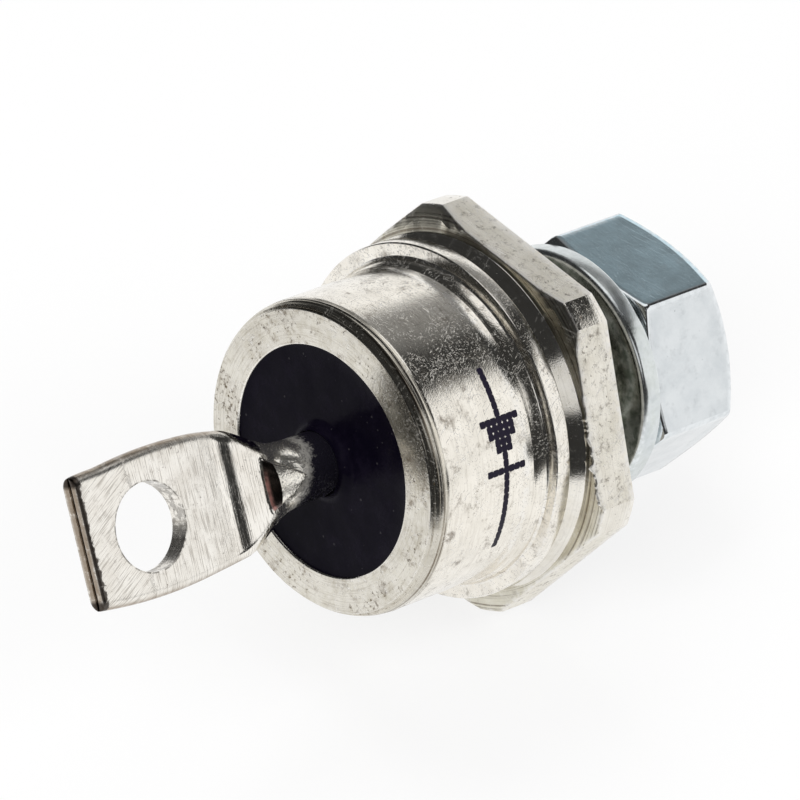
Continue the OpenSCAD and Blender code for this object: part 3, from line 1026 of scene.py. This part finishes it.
def siliconeMaterial():
    material, tree, shader = newMaterial("siliconeBead")
    film = noiseAt(tree, useGroup(tree, diodePlace)["Place"], 1.5, 3.0)
    color = mixColor(tree, film, (0.82, 0.80, 0.76, 1), (0.72, 0.70, 0.66, 1))
    rough = span(tree, film, 0.3, 0.7, 0.3, 0.45)
    plug(tree, shader, {"Base Color": color, "Roughness": rough, "Normal": bumpOf(tree, film, 0.5, 0.02)})
    return material


def dress(node, material):
    slots = frame["nodes"][node].data.materials
    slots.clear()
    slots.append(material)


for node, look in innerLooks.items():
    dress(node, platedMetal(node + "Metal", look))
dress("junction_coating", siliconeMaterial())
print("materials set")


# white sheet under the diode, a bright wall on its right, softboxes, lamps and the camera; angles in degrees
stageLook = {
    "floorSize": 6.0, "sheetColor": (0.93, 0.93, 0.93, 1), "roomColor": (0.035, 0.035, 0.035, 1),
    "floorGlow": 0.8, "sheetCentre": (0.08, 0.04), "sheetReach": (0.21, 0.16), "sheetEdge": (0.8, 1.1),
    "wallMiddle": -2, "wallHalf": 54, "wallEdge": 7, "wallTilt": (-0.05, 0.2, 1.0), "wallTop": (0.325, 0.36)}
softboxes = [
    {"azimuth": 20, "elevation": 57, "inner": 18, "outer": 23, "light": 1.0},
    {"azimuth": -108, "elevation": 42, "inner": 11, "outer": 17, "light": 0.8},
    {"azimuth": 38, "elevation": 14, "inner": 3, "outer": 42, "light": 0.25},
    {"azimuth": -61, "elevation": 17, "inner": 8, "outer": 16, "light": 1.0}]


def pointAt(azimuth, elevation):
    turn, lift = math.radians(azimuth), math.radians(elevation)
    return Vector((math.cos(turn) * math.cos(lift), math.sin(turn) * math.cos(lift), math.sin(lift)))


# one where a direction points to the wall on the right
def towardWall(tree, x, y):
    look = stageLook
    azimuth = maths(tree, "ARCTAN2", y, x)
    off = maths(tree, "ABSOLUTE", minus(tree, azimuth, math.radians(look["wallMiddle"])))
    half = math.radians(look["wallHalf"])
    return fade(tree, off, half, half + math.radians(look["wallEdge"]))


def buildFloor():
    look = stageLook
    size = look["floorSize"] / 2
    low = cadBox[0].z
    mesh = bpy.data.meshes.new("floor")
    corners = [(-size, -size, low), (size, -size, low), (size, size, low), (-size, size, low)]
    mesh.from_pydata(corners, [], [(0, 1, 2, 3)])
    floor = addObject("floor", mesh)
    material, tree, shader = newMaterial("paleFloor")
    x, y, _ = addNode(tree, "SeparateXYZ", {0: addNode(tree, "TexCoord").outputs["Object"]}).outputs
    across = maths(tree, "DIVIDE", minus(tree, x, look["sheetCentre"][0]), look["sheetReach"][0])
    deep = maths(tree, "DIVIDE", minus(tree, y, look["sheetCentre"][1]), look["sheetReach"][1])
    path = addNode(tree, "LightPath").outputs
    sheet = fade(tree, lengthOf(tree, across, deep), *look["sheetEdge"])
    sheet = larger(tree, sheet, towardWall(tree, x, y), path["Is Camera Ray"])
    color = mixColor(tree, sheet, look["roomColor"], look["sheetColor"])
    shine = mixColor(tree, sheet, look["roomColor"], (1, 1, 1, 1))
    glow = addNode(tree, "Emission", {"Color": shine, "Strength": 1.0})
    seen = larger(tree, path["Is Camera Ray"], path["Is Glossy Ray"], path["Is Transmission Ray"])
    plug(tree, shader, {"Base Color": color, "Roughness": 0.9, "Specular IOR Level": 0.0})
    share = times(tree, seen, look["floorGlow"])
    both = addNode(tree, "MixShader", {0: share, 1: shader.outputs[0], 2: glow.outputs[0]})
    tree.links.new(both.outputs[0], tree.nodes["Material Output"].inputs[0])
    mesh.materials.append(material)


def buildWorld():
    look = stageLook
    world = bpy.data.worlds.new("studio")
    scene.world = world
    world.use_nodes = True
    tree = world.node_tree
    background = tree.nodes["Background"]
    direction = addNode(tree, "TexCoord").outputs["Generated"]
    x, y, _ = addNode(tree, "SeparateXYZ", {0: direction}).outputs

    def facing(way):
        return addNode(tree, "VectorMath", {0: direction, 1: way}, operation="DOT_PRODUCT").outputs["Value"]

    top = fade(tree, facing(Vector(look["wallTilt"]).normalized()), *look["wallTop"])
    light = times(tree, towardWall(tree, x, y), top)
    for box in softboxes:
        near = facing(pointAt(box["azimuth"], box["elevation"]))
        outer, inner = [math.cos(math.radians(box[name])) for name in ("outer", "inner")]
        light = larger(tree, light, span(tree, near, outer, inner, 0.0, box["light"]))
    cameraRay = addNode(tree, "LightPath").outputs["Is Camera Ray"]
    light = larger(tree, light, look["roomColor"][0], cameraRay)
    background.inputs["Color"].default_value = (1, 1, 1, 1)
    tree.links.new(light, background.inputs["Strength"])


lamps = {
    "leftLamp": {"azimuth": 200, "elevation": 48, "distance": 0.5, "size": 0.35, "watts": 1.2},
    "rightLamp": {"azimuth": -60, "elevation": 40, "distance": 0.5, "size": 0.3, "watts": 0.9},
    "backLamp": {"azimuth": 75, "elevation": 55, "distance": 0.55, "size": 0.35, "watts": 1.3}}


def buildLamps():
    for name, lamp in lamps.items():
        light = bpy.data.lights.new(name, "AREA")
        light.shape = "DISK"
        light.size = lamp["size"]
        light.energy = lamp["watts"]
        holder = addObject(name, light)
        out = pointAt(lamp["azimuth"], lamp["elevation"])
        holder.location = out * lamp["distance"]
        holder.rotation_euler = out.to_track_quat("Z", "Y").to_euler()
        holder.visible_glossy = False


cameraPlace = {
    "lookAt": (-3.13, 2.58, 0.22), "distance": 391.5, "azimuth": -39.767, "elevation": 46.921, "roll": -2.433,
    "lens": 388.09, "sensor": 36.0, "clipStart": 0.01}


def buildCamera():
    c = cameraPlace
    data = bpy.data.cameras.new("camera")
    data.lens = c["lens"]
    data.sensor_width = c["sensor"]
    data.clip_start = c["clipStart"]
    camera = addObject("camera", data)
    a, e, roll = [math.radians(c[name]) for name in ("azimuth", "elevation", "roll")]
    out = Vector((math.sin(a) * math.cos(e), -math.cos(a) * math.cos(e), math.sin(e)))
    turn = out.to_track_quat("Z", "Y").to_matrix().to_4x4() @ Matrix.Rotation(roll, 4, "Z")
    camera.matrix_world = Matrix.Translation((Vector(c["lookAt"]) + out * c["distance"]) * mm) @ turn
    scene.camera = camera


buildFloor()
buildWorld()
buildLamps()
buildCamera()
scene.view_settings.view_transform = "Standard"
print("stage set")
